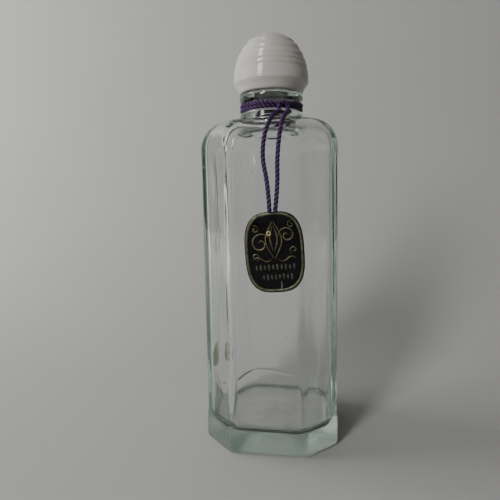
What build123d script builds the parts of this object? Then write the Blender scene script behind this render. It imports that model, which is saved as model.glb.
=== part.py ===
from build123d import *
import os
from math import asin, cos, degrees, pi, radians, sin, tan

# Eau-de-cologne bottle of clear pressed glass: square body with chamfered corners, a screw neck under a
# domed plastic cap, and an oval paper tag that hangs from a purple cord tied round the neck.
# Millimetres, +Z up. The origin is on the base, on the bottle's axis, and the tag hangs on the -Y face.

# ---- driving dimensions: body ----
WALL_HALF = 26.45          # axis to a flat of the straight wall
HEEL_HALF = 26.85          # the thick base stands a little proud of the wall
CHAMFER_LEG = 11.6         # how much a chamfer takes off each flat
EDGE_RADIUS = 3.5          # upright edges, softened by the mould
HEEL_RADIUS = 1.3
HEEL_TOP = 9.0             # the heel band ends here and tapers in to the wall
WALL_START = 14.0
SHOULDER_START = 118.2
SHOULDER_RADIUS = 11.0
GLASS = 3.4                # wall thickness
FLOOR = 6.9                # inner floor, over a thick base
FLOOR_RADIUS = 4.2
INNER_SHOULDER_RADIUS = 8.0
PUSH_UP_RADIUS = 17.0      # shallow hollow under the base
PUSH_UP_DEPTH = 1.3

# ---- driving dimensions: neck ----
BORE = 7.2
LIP = 149.6
THREAD_ROOT = 9.7
THREAD_DEPTH = 1.1
PITCH = 3.175              # 8 turns to the inch, as on a 22 mm finish
THREAD_TURNS = 1.5
GLASS_THREAD_START = 143.0
COLLAR = 12.9              # bead and lower ring of the neck
GROOVE = 11.1              # the waist that holds the cord
BEAD_LOW, BEAD_HIGH = 137.3, 140.4
RING_LOW, RING_HIGH = 129.9, 132.9

# ---- driving dimensions: cap, wad and orifice plug ----
CAP_BOTTOM = 141.1
CAP_BOTTOM_RADIUS = 12.9
RIM_RADIUS = 15.2
RIM = 144.9
DOME_TOP = 164.5
DOME_RISE_POWER, DOME_POWER = 1.9, 2.2  # the dome's outline is close to a superellipse
STEP_HEIGHTS = (149.3, 151.5, 153.4, 156.2, 159.2, 161.3)
STEP = 0.36                # width of the ledge at each ring of the beehive
THREAD_CLEARANCE = 0.25
DECK = 151.6               # roof of the threaded bore
WAD_RADIUS = 10.6
WAD_LOW, WAD_HIGH = 150.45, 151.55
PLUG_FLANGE = 8.8
PLUG_DEPTH = 7.6
PLUG_WALL = 1.0
ORIFICE = 1.7

# ---- driving dimensions: cord and tag ----
CORD = 1.75                # cord diameter
TURN_HEIGHTS = (134.2, 136.0)
HITCH_X = 6.2
HITCH_Z = 133.9
HITCH_RING = 1.85          # centreline radius of the bight that closes the hitch
TAG_X, TAG_Z = 3.5, 79.3
TAG_HALF_WIDTH, TAG_HALF_HEIGHT = 10.9, 14.85
TAG_POWER = 3.0            # cushion outline, between an oval and a rectangle
TAG_TILT = 3.5             # degrees, leaning left as seen from the front
CARD = 0.4
TAG_BACK = -26.85          # rear face of the tag

# Control points of the two cord strands, from the hitch over the shoulder and down the front face.
LEFT_ROUTE = [
    (4.8, -15.5, 131.1),
    (3.75, -18.95, 130.3),
    (2.25, -24.5, 127.3),
    (0.4, -27.95, 121.6),
    (-0.55, -27.8, 113.2),
    (1.45, -27.85, 103.9),
    (1.9, -27.8, 94.35),
]
RIGHT_ROUTE = [
    (8.55, -15.05, 131.1),
    (8.0, -18.6, 130.35),
    (6.8, -24.3, 127.4),
    (5.75, -27.9, 121.7),
    (4.85, -27.8, 112.6),
    (4.95, -27.85, 102.8),
    (3.95, -27.8, 94.35),
]


def octagon(z, inset, half=WALL_HALF, edge=EDGE_RADIUS):
    """The body's section at height z: a square with chamfered corners, moved in by inset."""
    flat = half - inset
    leg = CHAMFER_LEG - inset * (2 - 2**0.5)
    near = flat - leg
    corners = [
        (near, -flat), (flat, -near), (flat, near), (near, flat),
        (-near, flat), (-flat, near), (-flat, -near), (-near, -flat),
    ]
    face = Polygon(*corners, align=None)
    return Plane.XY.offset(z) * fillet(face.vertices(), edge)


def quarter(radius, steps=6):
    """Points on a quarter circle as (how far in, how far up), from upright to level."""
    angles = [pi / 2 * i / steps for i in range(steps + 1)]
    return [(radius * (1 - cos(a)), radius * sin(a)) for a in angles]


def edge_at(inset):
    """Upright edges get rounder as the shoulder closes in."""
    return EDGE_RADIUS + 0.35 * inset


def outer_body():
    heel = loft([
        octagon(HEEL_RADIUS - up, inset, HEEL_HALF) for inset, up in reversed(quarter(HEEL_RADIUS))
    ])
    band = extrude(octagon(HEEL_RADIUS, 0, HEEL_HALF), HEEL_TOP - HEEL_RADIUS)
    taper = loft([octagon(HEEL_TOP, 0, HEEL_HALF), octagon(WALL_START, 0)])
    wall = extrude(octagon(WALL_START, 0), SHOULDER_START - WALL_START)
    shoulder = loft([
        octagon(SHOULDER_START + up, inset, edge=edge_at(inset)) for inset, up in quarter(SHOULDER_RADIUS)
    ])
    return heel + band + taper + wall + shoulder


def neck_outside():
    """Turned outline of the neck: root, lower ring, cord groove, bead and plain finish."""
    top_of_shoulder = SHOULDER_START + SHOULDER_RADIUS
    with BuildPart() as neck:
        with BuildSketch(Plane.XZ):
            with BuildLine():
                Polyline(
                    (0, top_of_shoulder - 2), (COLLAR + 0.8, top_of_shoulder - 2),
                    (COLLAR + 0.8, top_of_shoulder), (COLLAR - 0.3, RING_LOW),
                    (COLLAR, RING_LOW + 0.3), (COLLAR, RING_HIGH - 0.3), (COLLAR - 0.5, RING_HIGH),
                    (GROOVE, RING_HIGH + 0.3), (GROOVE, BEAD_LOW - 0.4), (COLLAR - 0.5, BEAD_LOW),
                    (COLLAR, BEAD_LOW + 0.7), (COLLAR, BEAD_HIGH - 1.3), (COLLAR - 0.8, BEAD_HIGH - 0.2),
                    (COLLAR - 1.8, BEAD_HIGH), (THREAD_ROOT + 0.5, BEAD_HIGH), (THREAD_ROOT, BEAD_HIGH + 0.5),
                    (THREAD_ROOT, LIP - 0.6), (THREAD_ROOT - 0.6, LIP), (0, LIP), close=True,
                )
            make_face()
        revolve(axis=Axis.Z)
    return neck.part


def thread_ridge(radius, start, outwards, base, crest):
    """A helical ridge on a cylinder; its root is sunk 0.2 mm into the cylinder."""
    path = Pos(0, 0, start) * Helix(PITCH, PITCH * THREAD_TURNS, radius)
    side = 1 if outwards else -1
    section = Plane(origin=path @ 0, x_dir=(side, 0, 0), z_dir=path % 0) * make_face(
        Polyline(
            (-0.2, -base / 2), (THREAD_DEPTH, -crest / 2), (THREAD_DEPTH, crest / 2), (-0.2, base / 2),
            close=True,
        )
    )
    return sweep(section, path=path, is_frenet=True)


def cavity():
    """The inside of the bottle: rounded floor, straight walls, inner shoulder, funnel and bore."""
    inner_half = WALL_HALF - GLASS
    roof = SHOULDER_START + SHOULDER_RADIUS - GLASS
    spring = roof - INNER_SHOULDER_RADIUS

    def inner(z, inset):
        return octagon(z, GLASS + inset, edge=2.4 + 0.3 * inset)

    floor = loft([inner(FLOOR + FLOOR_RADIUS - up, inset) for inset, up in reversed(quarter(FLOOR_RADIUS))])
    wall = extrude(inner(FLOOR + FLOOR_RADIUS, 0), spring - FLOOR - FLOOR_RADIUS)
    shoulder = loft([inner(spring + up, inset) for inset, up in quarter(INNER_SHOULDER_RADIUS)])
    funnel_radius = inner_half - INNER_SHOULDER_RADIUS - 2
    with BuildPart() as throat:
        with BuildSketch(Plane.XZ):
            with BuildLine():
                Line((0, roof - 2), (funnel_radius, roof - 2))
                Line((funnel_radius, roof - 2), (funnel_radius, roof - 0.01))
                Spline(
                    (funnel_radius, roof - 0.01), (BORE + 2.2, roof + 0.9), (BORE, roof + 4.5),
                    tangents=[(-1, 0.05), (0, 1)],
                )
                Line((BORE, roof + 4.5), (BORE, LIP - 0.5))
                Line((BORE, LIP - 0.5), (BORE + 0.6, LIP + 1))
                Line((BORE + 0.6, LIP + 1), (0, LIP + 1))
                Line((0, LIP + 1), (0, roof - 2))
            make_face()
        revolve(axis=Axis.Z)
    return floor + wall + shoulder + throat.part


def glass_bottle():
    push_up = Pos(0, 0, -0.001) * Cone(
        PUSH_UP_RADIUS, PUSH_UP_RADIUS - 5, PUSH_UP_DEPTH, align=(Align.CENTER, Align.CENTER, Align.MIN)
    )
    ridge = thread_ridge(THREAD_ROOT, GLASS_THREAD_START, True, base=1.5, crest=0.7)
    return outer_body() + neck_outside() + ridge - cavity() - push_up


def dome_radius(z):
    share = (z - RIM) / (DOME_TOP - RIM)
    return RIM_RADIUS * (1 - share**DOME_RISE_POWER) ** (1 / DOME_POWER)


def crown_height(edge, height):
    """Height of the crown halfway out: an arc from the last ring that is level at the middle."""
    rise = DOME_TOP - height
    radius = (edge**2 + rise**2) / (2 * rise)
    return DOME_TOP - radius + (radius**2 - edge**2 / 4) ** 0.5


def cap():
    """Beehive dome: bevelled skirt, sharp rim and stepped rings, with a threaded bore and a cored crown."""
    bore = THREAD_ROOT + THREAD_DEPTH + THREAD_CLEARANCE
    with BuildPart() as dome:
        with BuildSketch(Plane.XZ):
            with BuildLine():
                Line((0, CAP_BOTTOM), (CAP_BOTTOM_RADIUS, CAP_BOTTOM))
                Line((CAP_BOTTOM_RADIUS, CAP_BOTTOM), (RIM_RADIUS, RIM - 0.3))
                Line((RIM_RADIUS, RIM - 0.3), (RIM_RADIUS, RIM))
                low = (RIM_RADIUS, RIM)
                for height in STEP_HEIGHTS:
                    halfway = (low[1] + height) / 2
                    swell = STEP / 2 if low[1] > RIM else 0  # the lowest band stays inside the rim
                    high = (dome_radius(height) + STEP / 2, height)
                    ThreePointArc(low, (dome_radius(halfway) + swell, halfway), high)
                    low = (dome_radius(height) - STEP / 2, height)
                    Line(high, low)
                ThreePointArc(low, (low[0] / 2, crown_height(*low)), (0, DOME_TOP))
                Line((0, DOME_TOP), (0, CAP_BOTTOM))
            make_face()
        revolve(axis=Axis.Z)
    hollow = Pos(0, 0, CAP_BOTTOM - 1) * Cylinder(
        bore, DECK - CAP_BOTTOM + 1, align=(Align.CENTER, Align.CENTER, Align.MIN)
    )
    core = Pos(0, 0, DECK) * Cone(7.5, 4.0, 8.0, align=(Align.CENTER, Align.CENTER, Align.MIN))
    ridge = thread_ridge(bore, GLASS_THREAD_START - PITCH / 2, False, base=1.2, crest=0.5)
    return dome.part - hollow - core + ridge


def cap_wad():
    thick = WAD_HIGH - WAD_LOW
    disc = Pos(0, 0, WAD_LOW) * Cylinder(WAD_RADIUS, thick, align=(Align.CENTER, Align.CENTER, Align.MIN))
    return chamfer(disc.edges(), 0.15)


def orifice_plug():
    """Polythene dropper pressed into the bore, with a flange on the lip and a small pouring hole."""
    with BuildPart() as plug:
        with BuildSketch(Plane.XZ):
            with BuildLine():
                Polyline(
                    (ORIFICE, LIP + 0.8), (PLUG_FLANGE, LIP + 0.8), (PLUG_FLANGE, LIP), (BORE + 0.02, LIP),
                    (BORE + 0.02, LIP - PLUG_DEPTH + 1), (BORE - 0.5, LIP - PLUG_DEPTH),
                    (BORE - PLUG_WALL, LIP - PLUG_DEPTH), (BORE - PLUG_WALL, LIP - 0.4),
                    (ORIFICE, LIP - 0.4), close=True,
                )
            make_face()
        revolve(axis=Axis.Z)
    return plug.part


def neck_turn(z):
    return Pos(0, 0, z) * Torus(GROOVE + CORD / 2 + 0.02, CORD / 2)


def cord_hitch():
    """The bight that the tag was passed through, standing proud of the two turns round the neck."""
    stand = GROOVE + 1.5 * CORD + 0.05
    sideways = degrees(asin(HITCH_X / stand))
    return Rot(0, 0, sideways) * Pos(0, -stand, HITCH_Z) * Rot(90, 0, 0) * Torus(HITCH_RING, CORD / 2)


def strand(route, name):
    """A limp cord: straight runs with arcs as large as the runs allow."""
    corners = [Vector(*p) for p in route]
    runs = [b - a for a, b in zip(corners, corners[1:])]
    radii = []
    for first, second in zip(runs, runs[1:]):
        half_turn = radians(first.get_angle(second)) / 2
        radii.append(0.45 * min(first.length, second.length) / tan(half_turn))
    path = FilletPolyline(*corners, radius=radii)
    section = Plane(origin=path @ 0, z_dir=path % 0) * Circle(CORD / 2)
    tube = sweep(section, path=path)
    ideal = pi * (CORD / 2) ** 2 * path.length
    print(
        name, "length %.1f" % path.length, "radii", ["%.1f" % r for r in radii],
        "runs", ["%.1f" % r.length for r in runs], "volume over section x length %.4f" % (tube.volume / ideal),
    )
    return tube


def tag_card(rear_face, points=28):
    """One face of the tag: a cushion oval of card."""
    outline = []
    for i in range(points):
        a = 2 * pi * i / points
        across = abs(cos(a)) ** (2 / TAG_POWER) * (1 if cos(a) >= 0 else -1)
        upward = abs(sin(a)) ** (2 / TAG_POWER) * (1 if sin(a) >= 0 else -1)
        outline.append((TAG_HALF_WIDTH * across, TAG_HALF_HEIGHT * upward))
    face = make_face(Spline(*outline, periodic=True))
    # The sketch plane is seen from the front: its X is +X, its Y is +Z and its normal is -Y.
    plane = Plane(origin=(TAG_X, rear_face, TAG_Z), x_dir=(1, 0, 0), z_dir=(0, -1, 0))
    return extrude(plane * (Rot(0, 0, TAG_TILT) * face), CARD)


NODES = {
    "glass_bottle": glass_bottle,
    "cap": cap,
    "cap_wad": cap_wad,
    "orifice_plug": orifice_plug,
    "neck_cord_lower": lambda: neck_turn(TURN_HEIGHTS[0]),
    "neck_cord_upper": lambda: neck_turn(TURN_HEIGHTS[1]),
    "cord_hitch": cord_hitch,
    "cord_strand_left": lambda: strand(LEFT_ROUTE, "left strand"),
    "cord_strand_right": lambda: strand(RIGHT_ROUTE, "right strand"),
    "tag_back": lambda: tag_card(TAG_BACK),
    "tag_front": lambda: tag_card(TAG_BACK - CARD),
}

os.makedirs("parts", exist_ok=True)
for node, make in NODES.items():
    export_step(make(), f"parts/{node}.step")
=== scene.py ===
"""Looks of the cologne bottle: pressed glass, moulded cap, twisted neck cord and foil-printed tag.
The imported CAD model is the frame. Lengths named here are millimetres; MM turns them into metres."""
import math

import bpy
from mathutils import Matrix, Vector, noise


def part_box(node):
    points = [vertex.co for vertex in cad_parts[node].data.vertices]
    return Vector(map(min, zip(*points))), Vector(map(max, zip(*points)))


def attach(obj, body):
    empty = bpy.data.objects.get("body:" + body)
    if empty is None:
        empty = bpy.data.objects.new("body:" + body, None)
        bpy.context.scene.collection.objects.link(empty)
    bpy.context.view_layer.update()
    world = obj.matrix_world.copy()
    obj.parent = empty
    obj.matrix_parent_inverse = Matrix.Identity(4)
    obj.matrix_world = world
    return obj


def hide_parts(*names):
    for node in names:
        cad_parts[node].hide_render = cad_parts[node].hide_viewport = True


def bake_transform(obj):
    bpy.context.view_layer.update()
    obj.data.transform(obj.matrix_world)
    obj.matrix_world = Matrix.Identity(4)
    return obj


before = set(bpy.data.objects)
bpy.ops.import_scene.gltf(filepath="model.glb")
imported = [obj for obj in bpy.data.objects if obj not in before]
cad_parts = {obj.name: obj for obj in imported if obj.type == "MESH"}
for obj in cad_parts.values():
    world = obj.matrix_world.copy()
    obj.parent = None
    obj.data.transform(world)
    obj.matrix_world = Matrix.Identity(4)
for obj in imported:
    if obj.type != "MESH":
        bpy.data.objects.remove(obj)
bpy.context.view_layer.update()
MM = 0.001


def span(node):
    """A CAD node's lowest and highest corners, in millimetres."""
    low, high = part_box(node)
    return low / MM, high / MM


GLASS_HIGH = span("glass_bottle")[1]
CAP_LOW, CAP_HIGH = span("cap")
TURN_LOW, TURN_HIGH = span("neck_cord_lower")
TAG_LOW, TAG_HIGH = span("tag_front")
TAG_BACK_HIGH = span("tag_back")[1]

# ---- the bottle's driving sizes ----
HEEL_HALF = GLASS_HIGH.x
HEEL_PROUD = 0.4  # how far the heel stands out from the wall
WALL_HALF = HEEL_HALF - HEEL_PROUD
CHAMFER_LEG = 11.6
EDGE_RADIUS = 3.5
HEEL_RADIUS = 1.3
HEEL_TOP, WALL_START = 9.0, 14.0
SHOULDER_START, SHOULDER_RADIUS = 118.2, 11.0
WALL = 3.4
FLOOR, FLOOR_RADIUS = 6.9, 4.2
INNER_SHOULDER = 8.0
INNER_EDGE = 4.6  # radius of the upright edges inside
PUSH_UP_RADIUS, PUSH_UP_DEPTH = 17.0, 1.3
LIP = GLASS_HIGH.z
BORE = 7.2
THREAD_ROOT, THREAD_DEPTH, PITCH, THREAD_TURNS, THREAD_START = 9.7, 1.1, 3.175, 1.5, 143.0
COLLAR, GROOVE = 12.9, 11.1
BEAD_LOW, BEAD_HIGH = 137.3, 140.4
RING_LOW, RING_HIGH = 129.9, 132.9
FLAT_STEPS, CHAMFER_STEPS, ARC_STEPS = 18, 8, 8  # points along each part of a section
SETTLE_HEIGHT, SETTLE_X, SETTLE_DEPTH, SETTLE_SPREAD = 15.2, -8.5, 1.0, 0.55  # ridge inside the rear wall
FLOOR_DOME, FLOOR_DOME_RADIUS = 0.7, 13

# ---- the cap's ----
CAP_BOTTOM, DOME_TOP = CAP_LOW.z, CAP_HIGH.z
CAP_BOTTOM_RADIUS, RIM_RADIUS, RIM = 12.9, 15.2, 144.9
DOME_RISE_POWER, DOME_POWER = 1.9, 2.2
STEP_HEIGHTS = (149.3, 151.5, 153.4, 156.2, 159.2, 161.3)
STEP = 0.36
DECK = 151.6
CAP_BORE = THREAD_ROOT + THREAD_DEPTH + 0.25

# ---- cord and tag ----
CORD = TURN_HIGH.z - TURN_LOW.z
TAG_CENTRE = (TAG_LOW + TAG_HIGH) / 2
TAG_HALF_WIDTH, TAG_HALF_HEIGHT, TAG_POWER, TAG_TILT = 10.9, 14.85, 3.0, math.radians(3.5)
LEFT_ROUTE = [
    (4.8, -15.5, 131.1),
    (3.75, -18.95, 130.3),
    (2.25, -24.5, 127.3),
    (0.4, -27.95, 121.6),
    (-0.55, -27.8, 113.2),
    (1.45, -27.85, 103.9),
    (1.9, -27.8, 94.35),
]
RIGHT_ROUTE = [
    (8.55, -15.05, 131.1),
    (8.0, -18.6, 130.35),
    (6.8, -24.3, 127.4),
    (5.75, -27.9, 121.7),
    (4.85, -27.8, 112.6),
    (4.95, -27.85, 102.8),
    (3.95, -27.8, 94.35),
]


# ------------------------------------------------------------------ mesh helpers


def add_mesh(name, points, faces, material, smooth=True, uvs=None):
    """A mesh object from points in millimetres; uvs gives one pair for each point."""
    mesh = bpy.data.meshes.new(name)
    mesh.from_pydata([Vector(p) * MM for p in points], [], faces)
    mesh.polygons.foreach_set("use_smooth", [smooth] * len(mesh.polygons))
    if uvs:
        layer = mesh.uv_layers.new(name="UVMap")
        for loop in mesh.loops:
            layer.data[loop.index].uv = uvs[loop.vertex_index]
    mesh.materials.append(material)
    mesh.update()
    piece = bpy.data.objects.new(name, mesh)
    bpy.context.collection.objects.link(piece)
    return piece


def skin(rings):
    """Points and outward faces of a closed body of rings, each end closed at a middle point.
    The rings run counter-clockwise seen from above and go up the outside."""
    count = len(rings[0])
    points = [p for ring in rings for p in ring]
    faces = []
    for i in range(len(rings) - 1):
        for k in range(count):
            a, b = i * count + k, i * count + (k + 1) % count
            faces.append((a, b, b + count, a + count))
    for start, flip in ((0, True), (len(rings) - 1, False)):
        ring = rings[start]
        points.append(sum((Vector(p) for p in ring), Vector()) / count)
        middle = len(points) - 1
        for k in range(count):
            a, b = start * count + k, start * count + (k + 1) % count
            faces.append((middle, b, a) if flip else (middle, a, b))
    return points, faces


def quarter(radius, steps):
    """A quarter circle as (how far in, how far up), from upright to level."""
    angles = [math.pi / 2 * i / steps for i in range(steps + 1)]
    return [(radius * (1 - math.cos(a)), radius * math.sin(a)) for a in angles]


def smooth_step(x):
    x = min(max(x, 0.0), 1.0)
    return x * x * (3 - 2 * x)


def spaced(low, high, steps):
    return [low + (high - low) * i / steps for i in range(steps + 1)]


def ridge(angle, z, start, base, crest):
    """Height, 0 to 1, of a helical ridge at this angle and height, fading out at both ends."""
    best = 0.0
    for turn in range(int(THREAD_TURNS) + 2):
        along = angle / (2 * math.pi) + turn
        if not 0 <= along <= THREAD_TURNS:
            continue
        off = abs(z - start - PITCH * along)
        side = smooth_step((base / 2 - off) / ((base - crest) / 2))
        fade = smooth_step(along / 0.07) * smooth_step((THREAD_TURNS - along) / 0.07)
        best = max(best, side * fade)
    return best


# ------------------------------------------------------------------ glass bottle


def octagon_ring(z, inset, half=WALL_HALF, edge=EDGE_RADIUS):
    """The body's section: a square with chamfered, softened corners, moved in by inset."""
    flat = half - inset
    near = flat - (CHAMFER_LEG - inset * (2 - math.sqrt(2)))
    corners = [
        (near, -flat), (flat, -near), (flat, near), (near, flat),
        (-near, flat), (-flat, near), (-flat, -near), (-near, -flat),
    ]
    eighth = math.pi / 4
    reach = edge / math.cos(eighth / 2)
    rounds = []
    for i, corner in enumerate(corners):
        start = -math.pi / 2 + i * eighth
        bisector = start + eighth / 2
        cx, cy = corner[0] - reach * math.cos(bisector), corner[1] - reach * math.sin(bisector)
        angles = [start + eighth * k / ARC_STEPS for k in range(ARC_STEPS + 1)]
        rounds.append([(cx + edge * math.cos(a), cy + edge * math.sin(a)) for a in angles])
    ring = []
    for i, here in enumerate(rounds):
        ring += here
        (x0, y0), (x1, y1) = here[-1], rounds[(i + 1) % 8][0]
        steps = FLAT_STEPS if i % 2 else CHAMFER_STEPS
        ring += [(x0 + (x1 - x0) * k / steps, y0 + (y1 - y0) * k / steps) for k in range(1, steps)]
    return [(x, y, z) for x, y in ring]


COLUMN_ANGLES = [math.atan2(y, x) for x, y, z in octagon_ring(0, 0)]


def circle_ring(radius, z):
    return [(radius * math.cos(a), radius * math.sin(a), z) for a in COLUMN_ANGLES]


def between(ring, other, share):
    return [tuple(p + (q - p) * share for p, q in zip(a, b)) for a, b in zip(ring, other)]


def wavy(ring, amount, width, height, seed):
    """Moves a ring in and out by slow noise, as glass flows against a mould."""
    moved = []
    for x, y, z in ring:
        sample = Vector((x / width, y / width, z / height)) + Vector((seed, 0, 0))
        push = amount * noise.noise(sample)
        reach = math.hypot(x, y)
        moved.append((x + x / reach * push, y + y / reach * push, z))
    return moved


def settled(ring):
    """A low ridge across the inside of the rear wall, as glass can leave where it settles."""
    moved = []
    for x, y, z in ring:
        sag = 0.02 if x < SETTLE_X else 0.008
        height = SETTLE_HEIGHT - sag * (x - SETTLE_X) ** 2
        fade = smooth_step((12 - x) / 8) * smooth_step(y / 10)
        moved.append((x, y - SETTLE_DEPTH * fade * math.exp(-((z - height) / SETTLE_SPREAD) ** 2), z))
    return moved


def outside_of_body():
    rings = []
    for share in (0.12, 0.25, 0.4, 0.55, 0.7, 0.85, 1.0):
        rings.append(circle_ring(PUSH_UP_RADIUS * share, PUSH_UP_DEPTH * (1 - smooth_step(share))))
    foot = octagon_ring(0, HEEL_RADIUS, HEEL_HALF)
    rings += [between(foot, rings[-1], share) for share in (0.66, 0.33)]
    for inset, up in reversed(quarter(HEEL_RADIUS, 8)):
        rings.append(octagon_ring(HEEL_RADIUS - up, inset, HEEL_HALF))
    rings += [octagon_ring(z, 0, HEEL_HALF) for z in spaced(HEEL_RADIUS, HEEL_TOP, 4)[1:]]
    for z in spaced(HEEL_TOP, WALL_START, 8)[1:]:
        share = smooth_step((z - HEEL_TOP) / (WALL_START - HEEL_TOP))
        rings.append(octagon_ring(z, 0, HEEL_HALF + (WALL_HALF - HEEL_HALF) * share))
    rings += [wavy(octagon_ring(z, 0), 0.07, 14, 30, 3) for z in spaced(WALL_START, SHOULDER_START, 40)[1:-1]]
    for inset, up in quarter(SHOULDER_RADIUS, 16):
        rings.append(octagon_ring(SHOULDER_START + up, inset, edge=EDGE_RADIUS + 0.35 * inset))
    return rings


def outside_of_neck(shoulder_edge):
    top = shoulder_edge[0][2]
    root = circle_ring(COLLAR + 1.0, top + 0.15)
    rings = [between(shoulder_edge, root, share) for share in (0.3, 0.6, 0.85, 1.0)]
    outline = [
        (COLLAR + 0.3, top + 0.3), (COLLAR - 0.1, RING_LOW - 0.1),
        (COLLAR, RING_LOW + 0.3), (COLLAR, RING_HIGH - 0.4),
        (COLLAR - 0.2, RING_HIGH), (COLLAR - 0.9, RING_HIGH + 0.1),
        (GROOVE + 0.2, RING_HIGH + 0.25), (GROOVE, RING_HIGH + 0.9), (GROOVE, BEAD_LOW - 1.2),
        (GROOVE + 0.1, BEAD_LOW - 0.6), (GROOVE + 0.7, BEAD_LOW - 0.2), (COLLAR - 0.55, BEAD_LOW + 0.05),
        (COLLAR - 0.15, BEAD_LOW + 0.4), (COLLAR, BEAD_LOW + 0.85), (COLLAR, BEAD_HIGH - 1.25),
        (COLLAR - 0.12, BEAD_HIGH - 0.75), (COLLAR - 0.5, BEAD_HIGH - 0.3), (COLLAR - 1.2, BEAD_HIGH - 0.05),
        (COLLAR - 2.1, BEAD_HIGH), (THREAD_ROOT + 0.4, BEAD_HIGH + 0.1),
        (THREAD_ROOT + 0.1, BEAD_HIGH + 0.35), (THREAD_ROOT, BEAD_HIGH + 0.8),
    ]
    rings += [circle_ring(r, z) for r, z in outline]
    for z in spaced(BEAD_HIGH + 1.0, LIP - 0.8, 56):
        rings.append([
            ((THREAD_ROOT + lift) * math.cos(a), (THREAD_ROOT + lift) * math.sin(a), z)
            for a in COLUMN_ANGLES
            for lift in (THREAD_DEPTH * ridge(a % (2 * math.pi), z, THREAD_START, 1.5, 0.6),)
        ])
    lip = [(0, 0.6), (0.1, 0.3), (0.35, 0.1), (0.8, 0), (1.6, 0), (2.0, 0.1), (2.3, 0.3), (2.5, 0.7)]
    rings += [circle_ring(THREAD_ROOT - inwards, LIP - down) for inwards, down in lip]
    return rings


def inner_section(z, inset):
    return octagon_ring(z, WALL + inset, edge=INNER_EDGE + 0.15 * inset)


def inner_wall(z):
    return wavy(inner_section(z, 0), 0.45, 9, 34, 11)


def inside():
    roof = SHOULDER_START + SHOULDER_RADIUS - WALL
    bore = [(BORE, z) for z in (146, 142, 138, 134.5, 132)]
    funnel = [(BORE + 0.05, roof + 4.5), (BORE + 0.35, roof + 2.9), (BORE + 1.1, roof + 1.5),
              (BORE + 2.3, roof + 0.6), (BORE + 3.8, roof + 0.12)]
    rings = [circle_ring(r, z) for r, z in bore + funnel]

    edge = inner_section(roof, INNER_SHOULDER)
    rings += [between(rings[-1], edge, share) for share in (0.4, 0.8)]
    for inset, up in reversed(quarter(INNER_SHOULDER, 12)):
        rings.append(inner_section(roof - INNER_SHOULDER + up, inset))
    low = FLOOR + FLOOR_RADIUS
    for z in spaced(roof - INNER_SHOULDER, low + 9, 42)[1:] + spaced(low + 9, low, 30)[1:-1]:
        rings.append(settled(inner_wall(z)))
    for inset, up in quarter(FLOOR_RADIUS, 10):
        rings.append(inner_section(low - up, inset))
    centre = circle_ring(14, FLOOR)
    rings += [between(rings[-1], centre, share) for share in (0.5, 1.0)]
    for radius in (12, 10, 8, 6, 4, 2):
        rings.append(circle_ring(radius, floor_height(radius)))
    return rings


def seed_bubble(points, faces, centre, radius, rows=6, columns=8):
    """A small gas bubble in the glass: a sphere whose faces look inwards."""
    start = len(points)
    for i in range(1, rows):
        tilt = math.pi * i / rows
        for k in range(columns):
            a = 2 * math.pi * k / columns
            points.append((
                centre[0] + radius * math.sin(tilt) * math.cos(a),
                centre[1] + radius * math.sin(tilt) * math.sin(a),
                centre[2] + radius * 1.5 * math.cos(tilt),
            ))
    for i in range(rows - 2):
        for k in range(columns):
            a, b = start + i * columns + k, start + i * columns + (k + 1) % columns
            faces.append((a, b, b + columns, a + columns))
    for row, height, flip in ((0, 1.5, True), (rows - 2, -1.5, False)):
        points.append((centre[0], centre[1], centre[2] + radius * height))
        pole = len(points) - 1
        for k in range(columns):
            a, b = start + row * columns + k, start + row * columns + (k + 1) % columns
            faces.append((pole, b, a) if flip else (pole, a, b))


SEEDS = [  # (x, depth in the front wall, z, radius)
    (-11.5, 1.6, 117.0, 0.22), (-9.0, 1.4, 111.5, 0.3), (-4.6, 1.9, 108.6, 0.26), (11.2, 1.5, 121.0, 0.24),
    (-13.2, 1.7, 92.0, 0.18), (7.5, 1.2, 47.0, 0.2), (-6.4, 2.0, 33.0, 0.24), (3.1, 1.7, 20.5, 0.3),
    (-2.0, 3.6, 5.2, 0.34), (9.8, 4.4, 4.1, 0.28), (-9.6, 3.0, 6.0, 0.2), (1.4, 1.5, 59.0, 0.16),
]


def make_bottle(material):
    body = outside_of_body()
    rings = body + outside_of_neck(body[-1]) + inside()
    points, faces = skin(rings)
    for x, depth, z, radius in SEEDS:
        seed_bubble(points, faces, (x, depth - WALL_HALF, z), radius)
    piece = add_mesh("bottle_glass", points, faces, material)
    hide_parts("glass_bottle")
    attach(piece, "bottle")


FRONT_LEFT_EDGE, LEFT_FRONT_EDGE = 146, 130  # the middle columns of two of the inner wall's upright edges


def along(ring, start, distance):
    """The point this far along a ring from one of its points; a negative distance goes back."""
    step = 1 if distance > 0 else -1
    here, left, i = Vector(ring[start]), abs(distance), start
    while left > 0:
        i += step
        ahead = Vector(ring[i % len(ring)])
        run = (ahead - here).length
        if run >= left:
            return here.lerp(ahead, left / run)
        here, left = ahead, left - run
    return here


def make_residue(name, corner, shift, low, high, wide, lean, material):
    """An olive patch: a thin blister on the inner wall beside one of its upright edges."""
    rows, columns = 16, 9
    points, faces = [], []
    for i in range(rows):
        t = i / (rows - 1)
        z = low + (high - low) * t
        ring = inner_wall(z)
        ragged = 0.75 + 0.25 * noise.noise(Vector((t * 5, corner, 0)))
        half = wide * math.sin(math.pi * t ** 0.6) ** 0.7 * ragged + 0.02
        for k in range(columns):
            u = 2 * k / (columns - 1) - 1
            notch = 1.6 * smooth_step((t - 0.7) / 0.3) * (1 - abs(u))
            place = along(ring, corner, shift + u * half + lean * t)
            lift = 0.03 + 0.16 * (1 - u * u) * math.sin(math.pi * t)
            inwards = Vector((-place.x, -place.y, 0)).normalized() * lift
            points.append((place.x + inwards.x, place.y + inwards.y, z - notch))
    for i in range(rows - 1):
        for k in range(columns - 1):
            a = i * columns + k
            faces.append((a, a + columns, a + columns + 1, a + 1))
    piece = add_mesh(name, points, faces, material)
    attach(piece, "bottle")


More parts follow.
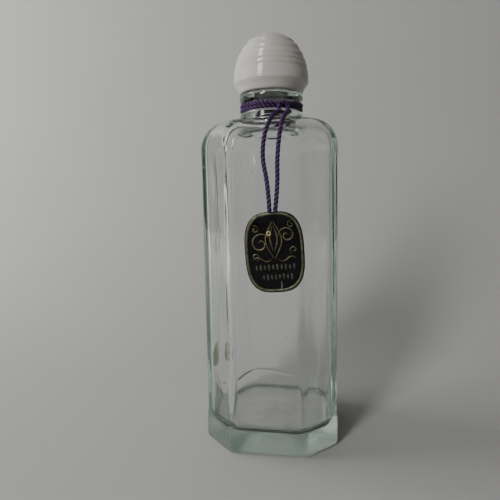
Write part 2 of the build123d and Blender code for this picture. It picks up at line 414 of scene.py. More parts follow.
def floor_height(radius):
    """The inner floor, with its low dome in the middle."""
    return FLOOR + FLOOR_DOME * (1 - smooth_step(radius / FLOOR_DOME_RADIUS))


def make_floor_sheet_painted_light(material):
    """A thin dried film that covers the floor inside the bottle and thins out up its rounded edge; its pale
    colour is painted light standing in for the light that reaches the floor through the glass base.
    """
    rings = []
    for lift, order in ((0.10, 1), (0.03, -1)):
        face = [circle_ring(r, floor_height(r) + lift) for r in (2, 4, 6, 8, 10, 12, 14)]
        for inset, up in reversed(quarter(FLOOR_RADIUS, 10)[5:]):
            section = inner_section(FLOOR + FLOOR_RADIUS - up, inset)
            face.append([(x * 0.997, y * 0.997, z + lift) for x, y, z in section])
        rings += face[::order]
    points, faces = skin(rings)
    piece = add_mesh("floor_sheet_painted_light", points, faces, material)
    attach(piece, "bottle")


# ------------------------------------------------------------------ cap


def round_ring(radius, z, count=160, lift=None):
    ring = []
    for k in range(count):
        a = 2 * math.pi * k / count
        r = radius + (lift(a, z) if lift else 0)
        ring.append((r * math.cos(a), r * math.sin(a), z))
    return ring


def dome_radius(z):
    share = (z - RIM) / (DOME_TOP - RIM)
    return RIM_RADIUS * (1 - min(share, 1.0) ** DOME_RISE_POWER) ** (1 / DOME_POWER)


def cap_outline():
    """(radius, z) from the skirt's foot over the bevel, the rim and the stepped rings to the crown."""
    outline = [(CAP_BOTTOM_RADIUS - 0.35, CAP_BOTTOM), (CAP_BOTTOM_RADIUS - 0.1, CAP_BOTTOM + 0.08)]
    bevel = RIM_RADIUS - CAP_BOTTOM_RADIUS
    rise = RIM - CAP_BOTTOM
    for share in (0.06, 0.25, 0.5, 0.75, 0.93):
        hollow = 0.25 * math.sin(math.pi * share)  # the bevel is slightly dished
        outline.append((CAP_BOTTOM_RADIUS + bevel * share - hollow, CAP_BOTTOM + (rise - 0.3) * share))
    outline += [(RIM_RADIUS - 0.03, RIM - 0.22), (RIM_RADIUS, RIM - 0.12), (RIM_RADIUS - 0.05, RIM)]
    low = RIM
    for height in STEP_HEIGHTS:
        first, last = low + 0.14, height - 0.16
        ledge = STEP * (1.0 + 1.5 * (height - RIM) / (DOME_TOP - RIM))  # the upper rings step in further
        for share in (0, 0.06, 0.16, 0.32, 0.5, 0.68, 0.84, 0.94, 1.0):
            z = first + (last - first) * share
            lean = ledge * (share - 0.5) if low > RIM else ledge * 0.4 * share
            bulge = 0.075 * (last - first) * math.sin(math.pi * share) if low > RIM else 0.0
            outline.append((dome_radius(z) + lean + bulge, z))
        crest = dome_radius(height) + ledge * 0.44
        outline += [(crest, height - 0.09), (crest - 0.03, height - 0.03), (crest - 0.1, height)]
        outline += [(crest - ledge + 0.12, height - 0.01), (crest - ledge + 0.04, height + 0.04)]
        low = height
    foot = STEP_HEIGHTS[-1]
    edge, rise = dome_radius(foot) - STEP / 2, DOME_TOP - foot
    crown = (edge ** 2 + rise ** 2) / (2 * rise)
    for share in (0.99, 0.95, 0.88, 0.78, 0.65, 0.5, 0.35, 0.2, 0.08):
        reach = edge * share
        outline.append((reach, DOME_TOP - crown + math.sqrt(crown ** 2 - reach ** 2)))
    return outline


def make_cap(material):
    """One closed shell: from the core's roof down the threaded bore, round the foot and up the outside."""
    def thread(a, z):
        return -THREAD_DEPTH * ridge(a, z, THREAD_START - PITCH / 2, 1.2, 0.4)

    core = [
        (0.8, DECK + 8.0), (3.6, DECK + 8.0), (4.0, DECK + 7.6), (7.4, DECK + 0.1), (7.6, DECK),
        (CAP_BORE - 0.1, DECK), (CAP_BORE, DECK - 0.1),
    ]
    inner = [round_ring(r, z) for r, z in core]
    heights = spaced(CAP_BOTTOM + 0.25, DECK - 0.4, 66)
    inner += [round_ring(CAP_BORE, z, lift=thread) for z in reversed(heights)]
    foot = round_ring(CAP_BORE + 0.1, CAP_BOTTOM)
    outer = [round_ring(r, z) for r, z in cap_outline()]
    points, faces = skin(inner + [foot] + outer)
    piece = add_mesh("cap_dome", points, faces, material)
    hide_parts("cap")
    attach(piece, "cap")


# ------------------------------------------------------------------ cord


def route_line(route):
    """Points, in millimetres, along the smooth line that a route's points control."""
    curve = bpy.data.curves.new("route", "CURVE")
    curve.dimensions = "3D"
    curve.resolution_u = 24
    spline = curve.splines.new("NURBS")
    spline.points.add(len(route) - 1)
    for point, place in zip(spline.points, route):
        point.co = (*(Vector(place) * MM), 1)
    spline.order_u = 3
    spline.use_endpoint_u = True
    holder = bpy.data.objects.new("route", curve)
    mesh = bpy.data.meshes.new_from_object(holder)
    line = [v.co / MM for v in mesh.vertices]
    bpy.data.objects.remove(holder)
    bpy.data.meshes.remove(mesh)
    return line


def even_line(line, step):
    """The same line with points a step apart."""
    lengths = [0.0]
    for a, b in zip(line, line[1:]):
        lengths.append(lengths[-1] + (b - a).length)
    count = max(2, round(lengths[-1] / step))
    result, i = [], 0
    for k in range(count + 1):
        goal = lengths[-1] * k / count
        while i < len(line) - 2 and lengths[i + 1] < goal:
            i += 1
        share = (goal - lengths[i]) / max(lengths[i + 1] - lengths[i], 1e-9)
        result.append(line[i].lerp(line[i + 1], min(share, 1.0)))
    return result


def carried_frames(line, closed=False):
    """Side and up directions carried along a line without twist."""
    count = len(line)
    ahead = []
    for i in range(count):
        before = line[i - 1] if i or closed else line[0]
        after = line[(i + 1) % count] if i < count - 1 or closed else line[-1]
        ahead.append((after - before).normalized())
    side = ahead[0].orthogonal().normalized()
    frames = []
    for direction in ahead:
        side = (side - direction * side.dot(direction)).normalized()
        frames.append((side.copy(), direction.cross(side)))
    return frames


def tube(line, radius, around, closed, points, faces):
    """Adds one closed tube along a line to the points and faces."""
    frames = carried_frames(line, closed)
    start, count = len(points), len(line)
    for centre, (side, up) in zip(line, frames):
        for k in range(around):
            a = 2 * math.pi * k / around
            points.append(centre + (side * math.cos(a) + up * math.sin(a)) * radius)
    for i in range(count if closed else count - 1):
        for k in range(around):
            a, b = start + i * around + k, start + i * around + (k + 1) % around
            after = around if i < count - 1 else -(count - 1) * around
            faces.append((a, b, b + after, a + after))
    if not closed:
        for i, flip in ((0, True), (count - 1, False)):
            points.append(line[i])
            pole = len(points) - 1
            for k in range(around):
                a, b = start + i * around + k, start + i * around + (k + 1) % around
                faces.append((pole, b, a) if flip else (pole, a, b))


def rope(name, line, material, lay=4.9, plies=3, closed=False, phase=0.0, shape=None):
    """Twisted cord: plies wound round a centreline, with shape(point) to press it where it is held.
    Its UV says how far out each point lies, so that the material can paint shade, nearly black, into the
    grooves between the plies."""
    frames = carried_frames(line, closed)
    length = sum((b - a).length for a, b in zip(line, line[1:]))
    if closed:
        length += (line[0] - line[-1]).length
        lay = length / round(length / lay)
    ply = CORD / 2 / (1 + 2 / math.sqrt(3))
    offset, around = CORD / 2 - ply, 12
    points, faces, uvs = [], [], []
    for number in range(plies):
        wound, along = [], 0.0
        for i, centre in enumerate(line):
            if i:
                along += (centre - line[i - 1]).length
            side, up = frames[i]
            a = 2 * math.pi * (along / lay + number / plies) + phase
            wound.append(centre + (side * math.cos(a) + up * math.sin(a)) * offset)
        first = len(points)
        tube(wound, ply * 0.98, around, closed, points, faces)
        for k, point in enumerate(points[first:]):
            i = min(k // around, len(line) - 1)
            uvs.append(((point - line[i]).length / (CORD / 2), i / len(line)))
    if shape:
        points = [shape(Vector(p)) for p in points]
    return add_mesh(name, points, faces, material, uvs=uvs)


def polar(angle, radius, z):
    """A point round the neck; the angle is in degrees from the front towards +X."""
    a = math.radians(angle)
    return (radius * math.sin(a), -radius * math.cos(a), z)


HITCH_ANGLE = math.radians(24)
TURN_POINTS = 260
PULL_SPREAD = 0.85  # radians either side of the knot over which the tag pulls the turns
CORD_STEP = 0.3
BIGHT = [
    polar(17.2, 16.2, 131.1), polar(17.6, 15.3, 131.5), polar(18.2, 14.8, 132.3), polar(17.0, 14.7, 133.5),
    polar(19.2, 14.6, 134.7), polar(24.0, 14.7, 135.0),
    polar(29.8, 14.6, 134.7), polar(32.0, 14.6, 133.5), polar(31.0, 14.8, 132.3), polar(29.8, 15.3, 131.5),
    polar(29.6, 17.3, 131.1),
]


def make_neck_cord(material):
    """Two turns, nearly level at the back. In front the upper one dips and stands out over the lower one."""
    reach = TURN_HIGH.x - CORD / 2
    for name, node, drop, stand in (
        ("cord_turn_lower", "neck_cord_lower", 0.05, 0.0), ("cord_turn_upper", "neck_cord_upper", 0.95, 1.0)
    ):
        low, high = span(node)
        height = (low.z + high.z) / 2
        line = []
        for k in range(TURN_POINTS):
            a = 2 * math.pi * k / TURN_POINTS
            angle = (a - HITCH_ANGLE + math.pi) % (2 * math.pi) - math.pi
            pull = math.exp(-(angle / PULL_SPREAD) ** 2)
            sway = 0.08 * math.sin(3 * a + 0.6)
            z = height - drop * pull + sway * (1 - pull)
            line.append(Vector(polar(math.degrees(a), reach + stand * pull, z)))
        piece = rope(name, line, material, closed=True, phase=drop)
        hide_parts(node)
        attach(piece, "bottle")
    piece = rope("cord_bight", even_line(route_line(BIGHT), CORD_STEP), material, phase=1.3)
    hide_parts("cord_hitch")
    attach(piece, "bottle")


def press_into_tag(point):
    """Near the tag the cord is squeezed flat between the two cards."""
    edge = TAG_HIGH.z
    share = smooth_step((edge + 1.6 - point.z) / 2.4)
    middle = (TAG_LOW.y + TAG_BACK_HIGH.y) / 2
    y = middle + (point.y - middle) * (1 - 0.72 * share)
    return Vector((point.x, y, point.z))


def make_strand(name, node, route, material, phase):
    line = route_line(route)
    full = even_line(line, CORD_STEP)
    tucked = [full[-1] + Vector((0, 0, -0.5)), full[-1] + Vector((0, 0, -1.0))]  # between the cards
    piece = rope(name, full + tucked, material, phase=phase, shape=press_into_tag)
    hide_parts(node)
    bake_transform(piece)


# ------------------------------------------------------------------ tag


def tag_point(u, v, depth):
    """A point of the tag: u to the right and v up on its face, depth forwards, with its tilt and warp."""
    x = u * math.cos(TAG_TILT) - v * math.sin(TAG_TILT)
    z = u * math.sin(TAG_TILT) + v * math.cos(TAG_TILT)
    curl = 0.10 * (u / TAG_HALF_WIDTH) ** 2 - 0.05 * (v / TAG_HALF_HEIGHT) ** 2
    dent = 0.10 * noise.noise(Vector((u * 0.16, v * 0.13, 4.2)))
    crease = 0.10 * math.exp(-abs(u - 1.9) / 0.35) * smooth_step((-5.5 - v) / 3)
    return (TAG_CENTRE.x + x, TAG_BACK_HIGH.y - depth - curl * 0.5 - dent - crease, TAG_CENTRE.z + z)


def cushion(angle, share=1.0, inset=0.0):
    """A point on the tag's outline, between an oval and a rectangle."""
    c, s = math.cos(angle), math.sin(angle)
    u = math.copysign(abs(c) ** (2 / TAG_POWER), c) * (TAG_HALF_WIDTH - inset) * share
    v = math.copysign(abs(s) ** (2 / TAG_POWER), s) * (TAG_HALF_HEIGHT - inset) * share
    return u, v


def even_angles(count):
    """Angles that space points evenly along the tag's outline."""
    fine = [Vector(cushion(2 * math.pi * k / 2000)) for k in range(2001)]
    lengths = [0.0]
    for a, b in zip(fine, fine[1:]):
        lengths.append(lengths[-1] + (b - a).length)
    angles, i = [], 0
    for k in range(count):
        while lengths[i + 1] < lengths[-1] * k / count:
            i += 1
        angles.append(2 * math.pi * i / 2000)
    return angles


def swell(u, v):
    """How far the front card bulges over the two cord ends."""
    local = math.exp(-((u + 0.9) / 2.0) ** 2)
    return 0.5 * local * smooth_step((v - (TAG_HALF_HEIGHT - 3.4)) / 3.2)


def make_card(name, node, rear, front, material, bulge):
    """A thin closed card between two depths, with softly rolled edges."""
    angles = even_angles(144)
    rings = []
    for share in (0.15, 0.3, 0.45, 0.6, 0.7, 0.78, 0.85, 0.9, 0.95):
        rings.append([(*cushion(a, share), front) for a in angles])
    thick = front - rear
    for inset, down in ((0.35, 0.0), (0.16, 0.06), (0.05, 0.3), (0.05, 0.7), (0.16, 0.94), (0.35, 1.0)):
        rings.append([(*cushion(a, 1.0, inset), front - thick * down) for a in angles])
    for share in (0.93, 0.8, 0.6, 0.4, 0.2):
        rings.append([(*cushion(a, share), rear) for a in angles])
    rings = [[tag_point(u, v, d + bulge * swell(u, v)) for u, v, d in ring] for ring in rings]
    points, faces = skin(rings)
    piece = add_mesh(name, points, [tuple(reversed(f)) for f in faces], material)
    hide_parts(node)
    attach(piece, "tag")
    return piece


def ribbon(path, width, height, points, faces):
    """A thin raised strip along a list of (u, v) on the tag's face; width may taper by share."""
    line = [Vector(p) for p in path]
    start, count = len(points), len(line)
    for i, p in enumerate(line):
        ahead = (line[min(i + 1, count - 1)] - line[max(i - 1, 0)]).normalized()
        across = Vector((-ahead.y, ahead.x))
        half = width(i / (count - 1)) / 2
        for off, lift in ((-1, 0.0), (-0.6, 1.0), (0.6, 1.0), (1, 0.0)):
            q = p + across * half * off
            points.append(tag_point(q.x, q.y, FACE + height * lift + swell(q.x, q.y)))
    for i in range(count - 1):
        for k in range(3):
            a = start + i * 4 + k
            faces.append((a, a + 4, a + 5, a + 1))
    for i in (0, count - 1):
        a = start + i * 4
        faces.append((a, a + 1, a + 2, a + 3) if i == 0 else (a + 3, a + 2, a + 1, a))


FACE = TAG_BACK_HIGH.y - TAG_LOW.y  # depth of the tag's printed face
PRINT_LIFT = 0.04


def scroll(centre, size, turns, start, hand, steps=40):
    """A spiral flourish opening outwards from its centre."""
    path = []
    for k in range(steps + 1):
        t = k / steps
        a = start + hand * turns * 2 * math.pi * t
        r = size * (0.12 + 0.88 * t)
        path.append((centre[0] + r * math.cos(a), centre[1] + r * math.sin(a)))
    return path


def pen(widest, thinnest=0.12):
    return lambda share: thinnest + (widest - thinnest) * math.sin(math.pi * min(max(share, 0), 1)) ** 0.7


def make_gold_print(material):
    """A neutral scrollwork ornament: no letters."""
    points, faces = [], []
    steps = [k / 28 for k in range(29)]
    for hand in (1, -1):
        turn = math.pi * (0.5 - 0.5 * hand)
        scrolls = (  # centre, size, turns, start, hand, pen
            ((hand * 4.9, 4.7 + 1.3 * hand), 3.7 - 0.5 * hand, 1.45, turn + 0.5 * hand, hand, 0.5),
            ((hand * 6.6, 9.3 + 0.6 * hand), 1.5, 1.2, turn + 2.4 * hand, -hand, 0.34),
            ((hand * 7.1, hand - 0.4), 1.6, 1.1, turn + 3.6 * hand, hand, 0.34),
        )
        for centre, size, turns, start, way, width in scrolls:
            ribbon(scroll(centre, size, turns, start, way), pen(width), PRINT_LIFT, points, faces)
        for bow, top, foot in ((2.7, 11.4, -2.4), (1.1, 9.7, 0.3)):
            bowed = [0.25 + bow * math.sin(math.pi * t) ** 1.3 for t in steps]
            stem = [(hand * u, foot + (top - foot) * t) for u, t in zip(bowed, steps)]
            ribbon(stem, pen(0.42), PRINT_LIFT, points, faces)
        leaf = [(hand * (1.2 + 6.8 * t), -2.5 - 0.8 * math.sin(2 * math.pi * t)) for t in steps]
        ribbon(leaf, pen(0.38), PRINT_LIFT, points, faces)
    piece = add_mesh("tag_gold_print", points, faces, material)
    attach(piece, "tag")


def make_beading(material):
    """Two rows of upright lozenges below the ornament."""
    points, faces = [], []
    for height, middle, half, count in ((-5.5, 0.0, 6.9, 10), (-9.1, 0.7, 5.1, 8)):
        for k in range(count):
            u = middle - half + 2 * half * k / (count - 1)
            tall = 1.2 if k % 2 else 0.9
            path = [(u, height + tall * t) for t in (-1, -0.6, -0.2, 0.2, 0.6, 1)]
            ribbon(path, lambda share: 0.2 + 0.6 * math.sin(math.pi * share), 0.03, points, faces)
    piece = add_mesh("tag_beading", points, faces, material)
    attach(piece, "tag")


def make_gold_ring(material):
    """A small ring of print beside the ornament's middle; its foil is coloured far brighter than the rest, a
    painted glint.
    """
    points, faces = [], []
    angles = [2 * math.pi * k / 24 for k in range(25)]
    path = [(0.62 * math.cos(a) - 1.6, 0.7 * math.sin(a) + 7.0) for a in angles]
    ribbon(path, pen(0.5, 0.5), 0.08, points, faces)
    piece = add_mesh("tag_gold_ring", points, faces, material)
    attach(piece, "tag")


def make_crease(material):
    """A thin pale line up from the card's foot, like a crack in the foil."""
    points, faces = [], []
    path = [(1.9 + 0.06 * math.sin(3 * v), v) for v in spaced(-14.2, -10.6, 12)]
    ribbon(path, pen(0.3, 0.1), 0.03, points, faces)
    piece = add_mesh("tag_crease", points, faces, material)
    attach(piece, "tag")


def make_gold_border(material):
    angles = even_angles(160)
    rings = []
    for inset, lift in ((1.22, 0.0), (1.14, 0.05), (1.02, 0.07), (0.62, 0.07), (0.5, 0.05), (0.42, 0.0)):
        outline = [cushion(a, 1.0, inset) for a in angles]
        rings.append([tag_point(u, v, FACE + lift + swell(u, v)) for u, v in outline])
    count = len(angles)
    points = [p for ring in rings for p in ring]
    faces = []
    for i in range(len(rings) - 1):
        for k in range(count):
            a, b = i * count + k, i * count + (k + 1) % count
            faces.append((a, a + count, b + count, b))
    piece = add_mesh("tag_gold_border", points, faces, material)
    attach(piece, "tag")


# ------------------------------------------------------------------ materials


class Shader:
    """A Principled material with short ways to feed its sockets."""

    def __init__(self, name, **values):
        self.material = bpy.data.materials.new(name)
        self.material.use_nodes = True
        self.tree = self.material.node_tree
        self.body = self.tree.nodes["Principled BSDF"]
        for socket, value in values.items():
            self.body.inputs[socket.replace("_", " ")].default_value = value

    def node(self, kind, **values):
        made = self.tree.nodes.new(kind)
        for name, value in values.items():
            if hasattr(made, name):
                setattr(made, name, value)
            else:
                made.inputs[name.replace("_", " ")].default_value = value
        return made

    def link(self, source, target):
        self.tree.links.new(source, target)

    def place(self, scale=(1, 1, 1)):
        """Object coordinates, which are the row frame's metres, times a scale."""
        coordinates = self.node("ShaderNodeTexCoord")
        mapping = self.node("ShaderNodeMapping")
        mapping.inputs["Scale"].default_value = scale
        self.link(coordinates.outputs["Object"], mapping.inputs["Vector"])
        return mapping.outputs["Vector"]

    def noise(self, scale, detail=3.0, rough=0.5, stretch=(1, 1, 1)):
        made = self.node("ShaderNodeTexNoise", Scale=scale, Detail=detail, Roughness=rough)
        self.link(self.place(stretch), made.inputs["Vector"])
        return made.outputs["Fac"]

    def ramp(self, source, stops):
        made = self.node("ShaderNodeValToRGB")
        elements = made.color_ramp.elements
        while len(elements) < len(stops):
            elements.new(0.5)
        for element, (position, colour) in zip(elements, stops):
            element.position = position
            element.color = (*colour, 1)
        self.link(source, made.inputs["Fac"])
        return made.outputs["Color"]

    def range(self, source, low, high, start=0.0, end=1.0):
        made = self.node("ShaderNodeMapRange")
        made.inputs["From Min"].default_value = start
        made.inputs["From Max"].default_value = end
        made.inputs["To Min"].default_value = low
        made.inputs["To Max"].default_value = high
        self.link(source, made.inputs["Value"])
        return made.outputs["Result"]

    def bump(self, source, strength, distance):
        made = self.node("ShaderNodeBump")
        made.inputs["Strength"].default_value = strength
        made.inputs["Distance"].default_value = distance
        self.link(source, made.inputs["Height"])
        self.link(made.outputs["Normal"], self.body.inputs["Normal"])

    def mix(self, share, first, second):
        made = self.node("ShaderNodeMix", data_type="RGBA")
        for source, socket in ((share, "Factor"), (first, "A"), (second, "B")):
            if isinstance(source, tuple):
                socket_in = next(i for i in made.inputs if i.name == socket and i.type == "RGBA")
                socket_in.default_value = (*source, 1)
                continue
            kind = "VALUE" if socket == "Factor" else "RGBA"
            socket_in = next(i for i in made.inputs if i.name == socket and i.type == kind)
            self.link(source, socket_in)
        return next(o for o in made.outputs if o.type == "RGBA")


def glass_material():
    """Clear soda glass: the tint is in its depth, so thick edges and the base go green."""
    s = Shader("pressed_glass", Transmission_Weight=1.0, IOR=1.5)
    s.body.inputs["Base Color"].default_value = (1, 1, 1, 1)
    haze = s.noise(90, 4, 0.6)
    place = s.node("ShaderNodeSeparateXYZ")
    s.link(s.node("ShaderNodeTexCoord").outputs["Object"], place.inputs["Vector"])
    scuffed = s.range(place.outputs["Z"], 0.22, 0.0, 0.0012, 0.0018)  # dulls the underside only
    rough = s.node("ShaderNodeMath", operation="MAXIMUM")
    s.link(s.range(haze, 0.0, 0.035, 0.45, 0.8), rough.inputs[0])
    s.link(scuffed, rough.inputs[1])
    s.link(rough.outputs[0], s.body.inputs["Roughness"])
    streaks = s.noise(260, 2, 0.5, stretch=(1, 1, 0.12))
    s.bump(streaks, 0.1, 0.0004)
    absorb = s.node("ShaderNodeVolumeAbsorption")
    absorb.inputs["Color"].default_value = (0.27, 0.58, 0.40, 1)
    absorb.inputs["Density"].default_value = 12.0
    out = s.tree.nodes["Material Output"]
    s.link(absorb.outputs["Volume"], out.inputs["Volume"])
    return s.material


def cap_material():
    """Glossy off-white moulding with slightly duller patches."""
    s = Shader("cap_moulding", IOR=1.5)
    patches = s.noise(140, 4, 0.6)
    tones = s.ramp(patches, [(0.3, (0.60, 0.57, 0.535)), (0.7, (0.67, 0.645, 0.61))])
    s.link(tones, s.body.inputs["Base Color"])
    s.link(s.range(s.noise(260, 5, 0.6), 0.09, 0.2, 0.3, 0.75), s.body.inputs["Roughness"])
    s.bump(s.noise(900, 2, 0.5), 0.02, 0.0002)
    return s.material


def cord_material():
    """Purple cord: fine fibres along each ply, purple on the crowns, with painted shade going nearly black in
    the grooves between the plies.
    """
    s = Shader("rayon_cord", Sheen_Weight=0.02, Sheen_Roughness=0.3, Specular_IOR_Level=0.45)
    s.body.inputs["Sheen Tint"].default_value = (0.75, 0.6, 1.0, 1)
    uv = s.node("ShaderNodeUVMap")
    split = s.node("ShaderNodeSeparateXYZ")
    s.link(uv.outputs["UV"], split.inputs["Vector"])
    # painted shade: the further in towards the grooves between the plies, the darker, down to nearly black
    crown = s.ramp(split.outputs["X"], [
        (0.45, (0.001, 0.0004, 0.002)), (0.8, (0.003, 0.001, 0.007)),
        (0.92, (0.032, 0.006, 0.058)), (1.0, (0.20, 0.08, 0.30)),
    ])
    fibre = s.noise(2600, 3, 0.6, stretch=(1, 1, 0.25))
    # fibre tone mixed into the painted groove shade
    fibre_tone_and_groove_shade = s.mix(s.range(fibre, 0.0, 0.6, 0.4, 0.75), crown, (0.012, 0.004, 0.026))
    s.link(fibre_tone_and_groove_shade, s.body.inputs["Base Color"])
    s.link(s.range(fibre, 0.5, 0.32), s.body.inputs["Roughness"])
    s.bump(fibre, 0.3, 0.0001)
    return s.material


def foil_black_material():
    """Black glazed card with faint scuffs."""
    s = Shader("black_card", IOR=1.45, Specular_IOR_Level=0.25)
    scuffs = s.noise(700, 6, 0.7, stretch=(1, 1, 0.35))
    tones = [(0.5, (0.002, 0.002, 0.003)), (0.72, (0.006, 0.006, 0.006)), (0.82, (0.04, 0.038, 0.03))]
    s.link(s.ramp(scuffs, tones), s.body.inputs["Base Color"])
    s.link(s.range(s.noise(220, 4), 0.2, 0.4, 0.3, 0.7), s.body.inputs["Roughness"])
    s.bump(s.noise(1500, 3, 0.6), 0.05, 0.0001)
    return s.material


def card_back_material(name="card_back", pale=1.0):
    s = Shader(name)
    fibres = s.noise(900, 6, 0.7, stretch=(1, 1, 3))
    tones = ((0.03, 0.028, 0.026), (0.055, 0.05, 0.045))
    dark, light = (tuple(c * pale for c in colour) for colour in tones)
    s.link(s.ramp(fibres, [(0.3, dark), (0.7, light)]), s.body.inputs["Base Color"])
    s.link(s.range(fibres, 0.6, 0.85), s.body.inputs["Roughness"])
    s.bump(fibres, 0.15, 0.0001)
    return s.material


def gold_material(name, bright, worn):
    """Stamped foil that has dulled in patches."""
    s = Shader(name, Metallic=0.85)
    patches = s.noise(520, 5, 0.65)
    s.link(s.ramp(patches, [(0.35, worn), (0.62, bright)]), s.body.inputs["Base Color"])
    s.link(s.range(patches, 0.55, 0.3, 0.3, 0.7), s.body.inputs["Roughness"])
    s.bump(s.noise(1800, 2), 0.1, 0.0001)
    return s.material


def plug_material():
    s = Shader("polythene", Subsurface_Weight=0.3, Subsurface_Scale=0.002)
    haze = s.noise(300, 3)
    s.link(s.ramp(haze, [(0.3, (0.72, 0.73, 0.70)), (0.7, (0.80, 0.81, 0.79))]), s.body.inputs["Base Color"])
    s.link(s.range(haze, 0.4, 0.55), s.body.inputs["Roughness"])
    return s.material


def residue_material():
    """Dried residue: olive, in two tones."""
    s = Shader("dried_residue", Transmission_Weight=0.1, IOR=1.45, Roughness=0.35)
    film = s.noise(600, 4, 0.6, stretch=(1, 1, 0.5))
    s.link(s.ramp(film, [(0.3, (0.13, 0.18, 0.04)), (0.7, (0.24, 0.31, 0.09))]), s.body.inputs["Base Color"])
    return s.material


def painted_light_film_material():
    """The thin dried film on the bottle's floor: barely tinted, but pale and scattering, as painted light
    where the floor seen through the glass would otherwise lie in shade.
    """
    s = Shader("floor_film_painted_light", Transmission_Weight=0.86, IOR=1.3)
    patches = s.noise(160, 4, 0.6)
    # pale tones: painted light on the floor inside the bottle
    tones = s.ramp(patches, [(0.35, (0.50, 0.54, 0.48)), (0.65, (0.74, 0.77, 0.72))])
    s.link(tones, s.body.inputs["Base Color"])
    s.link(s.range(patches, 0.55, 0.35), s.body.inputs["Roughness"])
    return s.material


def wad_material():
    s = Shader("pulp_board")
    fibres = s.noise(1200, 6, 0.7, stretch=(1, 1, 4))
    tones = s.ramp(fibres, [(0.3, (0.50, 0.42, 0.30)), (0.7, (0.66, 0.58, 0.44))])
    s.link(tones, s.body.inputs["Base Color"])
    s.link(s.range(fibres, 0.75, 0.95), s.body.inputs["Roughness"])
    s.bump(fibres, 0.3, 0.0001)
    return s.material


# ------------------------------------------------------------------ stage, light and camera


def stage_material():
    s = Shader("paper_sweep")
    tones = s.ramp(s.noise(3, 3), [(0.3, (0.50, 0.50, 0.49)), (0.7, (0.54, 0.54, 0.53))])
    s.link(tones, s.body.inputs["Base Color"])
    s.link(s.range(s.noise(40, 3), 0.7, 0.85), s.body.inputs["Roughness"])
    return s.material


def make_stage(material):
    """A paper sweep: a floor that curves up behind the bottle."""
    half, front, back, bend, tall, gap = 1400, -900, 340, 300, 1300, 0.2
    profile = [(front, -gap), (-200, -gap), (back - bend, -gap)]
    for k in range(1, 17):
        a = math.pi / 2 * k / 16
        profile.append((back - bend + bend * math.sin(a), bend * (1 - math.cos(a)) - gap))
    profile.append((back, tall))
    points = [(x, y, z) for y, z in profile for x in (-half, half)]
    faces = [(2 * i, 2 * i + 1, 2 * i + 3, 2 * i + 2) for i in range(len(profile) - 1)]
    sweep = add_mesh("paper_sweep", points, faces, material)


def area_light(name, place, aim, width, height, power, colour=(1, 1, 1)):
    data = bpy.data.lights.new(name, "AREA")
    data.shape = "RECTANGLE"
    data.size, data.size_y = width * MM, height * MM
    data.energy = power
    data.color = colour
    lamp = bpy.data.objects.new(name, data)
    lamp.location = Vector(place) * MM
    lamp.rotation_euler = (Vector(aim) - Vector(place)).to_track_quat("-Z", "Y").to_euler()
    bpy.context.collection.objects.link(lamp)
    return lamp


def make_lights():
    world = bpy.data.worlds.new("room")
    world.use_nodes = True
    tree = world.node_tree
    coordinates = tree.nodes.new("ShaderNodeTexCoord")
    split = tree.nodes.new("ShaderNodeSeparateXYZ")
    tree.links.new(coordinates.outputs["Generated"], split.inputs["Vector"])
    ramp = tree.nodes.new("ShaderNodeValToRGB")
    ramp.color_ramp.elements[0].position, ramp.color_ramp.elements[1].position = 0.0, 1.0
    ramp.color_ramp.elements[0].color = (0.60, 0.61, 0.63, 1)
    ramp.color_ramp.elements[1].color = (0.07, 0.068, 0.067, 1)
    share = tree.nodes.new("ShaderNodeMapRange")
    share.inputs["From Min"].default_value, share.inputs["From Max"].default_value = -1, 1
    tree.links.new(split.outputs["X"], share.inputs["Value"])
    tree.links.new(share.outputs["Result"], ramp.inputs["Fac"])
    tree.links.new(ramp.outputs["Color"], tree.nodes["Background"].inputs["Color"])
    tree.nodes["Background"].inputs["Strength"].default_value = 0.165
    bpy.context.scene.world = world
    middle = (0, 0, 90)
    fill = area_light("left_wall", (-700, 20, 330), middle, 500, 700, 4.2)
    # the fill doesn't draw its own shape in the glass
    fill.visible_glossy = fill.visible_transmission = False
    area_light("tall_window", (-454, -891, 600), (0, 0, 140), 240, 800, 7.2, (1.0, 0.99, 0.97))


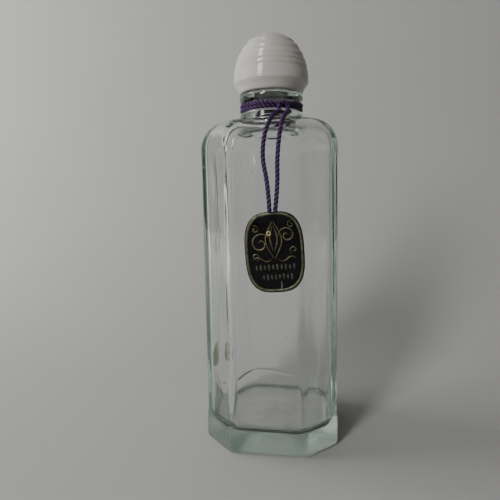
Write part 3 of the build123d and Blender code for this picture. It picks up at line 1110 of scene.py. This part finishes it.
def make_camera():
    """The eye, aimed by turn, tilt and roll, with the lens on a 36 mm sensor."""
    data = bpy.data.cameras.new("camera")
    data.lens = 32.42
    data.sensor_width = 36
    data.clip_start = 0.01
    eye = Vector((20.6, -189.2, 99.2))
    turn, tilt, roll = math.radians(9.16), math.radians(6.63), math.radians(-1.05)
    look = Matrix.Rotation(turn, 4, "Z") @ Matrix.Rotation(math.pi / 2 - tilt, 4, "X")
    look = look @ Matrix.Rotation(roll, 4, "Z")
    camera = bpy.data.objects.new("camera", data)
    camera.matrix_world = Matrix.Translation(eye * MM) @ look
    bpy.context.collection.objects.link(camera)
    bpy.context.scene.camera = camera


# ------------------------------------------------------------------ everything

make_camera()
make_bottle(glass_material())
make_cap(cap_material())
cord_look = cord_material()
make_neck_cord(cord_look)
black = foil_black_material()
plain_card = card_back_material()
back_card = make_card("tag_rear_card", "tag_back", 0.0, FACE / 2 - 0.01, plain_card, 0.0)
front_card = make_card("tag_face_card", "tag_front", FACE / 2 + 0.01, FACE, black, 1.0)
make_gold_print(gold_material("gold_print", (0.24, 0.20, 0.11), (0.07, 0.06, 0.035)))
make_beading(gold_material("gold_faded", (0.13, 0.125, 0.10), (0.045, 0.044, 0.037)))
# a ring of print whose much brighter foil colour is a painted glint
make_gold_ring(gold_material("gold_ring_painted_glint", (0.72, 0.68, 0.34), (0.45, 0.42, 0.2)))
make_gold_border(gold_material("gold_border", (0.19, 0.20, 0.12), (0.07, 0.075, 0.05)))
make_crease(card_back_material("crease_card", 6.0))
make_strand("cord_left", "cord_strand_left", LEFT_ROUTE, cord_look, 0.4)
make_strand("cord_right", "cord_strand_right", RIGHT_ROUTE, cord_look, 2.0)
residue = residue_material()
make_residue("residue_front", FRONT_LEFT_EDGE, -1.9, 35.8, 44.8, 1.9, 0.3, residue)
make_residue("residue_side", LEFT_FRONT_EDGE, 2.2, 31.0, 42.0, 3.0, 2.6, residue)
# the floor film: a pale sheet of painted light inside the bottle
make_floor_sheet_painted_light(painted_light_film_material())
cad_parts["cap_wad"].data.materials[0] = wad_material()
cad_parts["orifice_plug"].data.materials[0] = plug_material()
make_stage(stage_material())
make_lights()

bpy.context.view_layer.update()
# thick glass needs more inner reflections than the default, or its edges turn black
light_paths = bpy.context.scene.cycles
light_paths.max_bounces, light_paths.glossy_bounces, light_paths.transmission_bounces = 32, 24, 24
